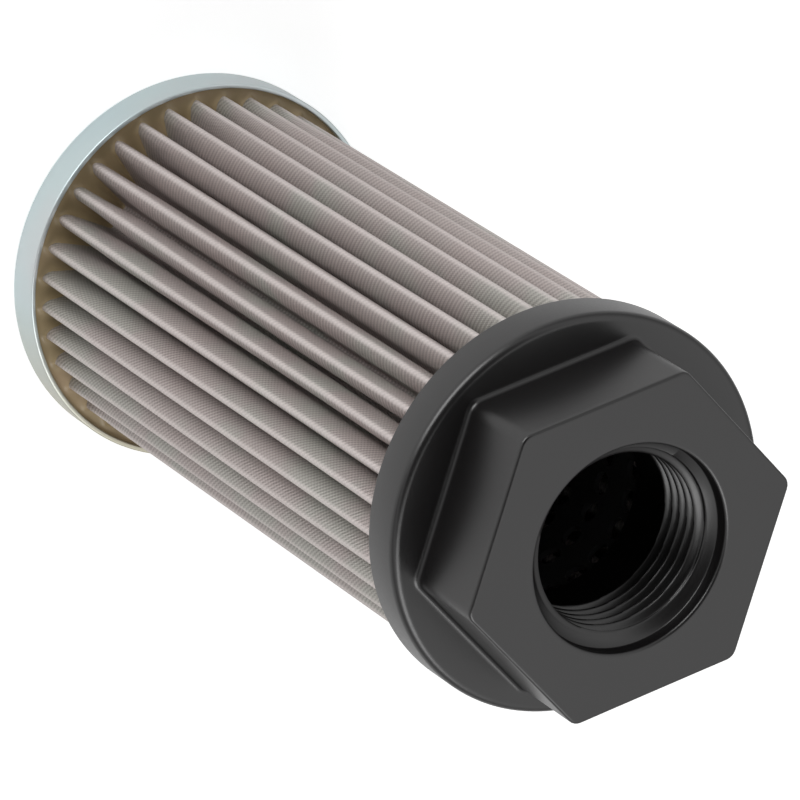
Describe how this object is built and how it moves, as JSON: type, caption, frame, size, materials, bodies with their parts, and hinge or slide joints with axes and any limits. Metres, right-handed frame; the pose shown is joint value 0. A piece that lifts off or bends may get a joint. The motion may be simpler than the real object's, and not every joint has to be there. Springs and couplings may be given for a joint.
{
  "type": "hydraulic suction strainer",
  "caption": "Tank suction strainer: pleated wire-mesh cylinder between a pressed steel end cap and a black hexagonal head with a female port thread.",
  "frame": {"origin": "middle of the underside of the steel end cap, on which the strainer stands", "axes": "+Z along the filter's axis, from the end cap towards the hexagonal head; +X faces one flat of the hexagon"},
  "size_m": [0.07, 0.07, 0.1555],
  "materials": {
    "zinc_plate": "pale blue zinc plating, satin",
    "potting_resin": "cured olive-brown epoxy, slightly glossy",
    "wire_mesh": "fine woven stainless wire",
    "black_nylon": "moulded glass-filled nylon, satin"
  },
  "bodies": {
    "root": {"end_cap": "zinc_plate", "cap_resin": "potting_resin", "pleated_mesh": "wire_mesh", "seam_clip": "wire_mesh", "core_tube": "zinc_plate", "head_resin": "potting_resin", "head": "black_nylon"}
  },
  "joints": []
}
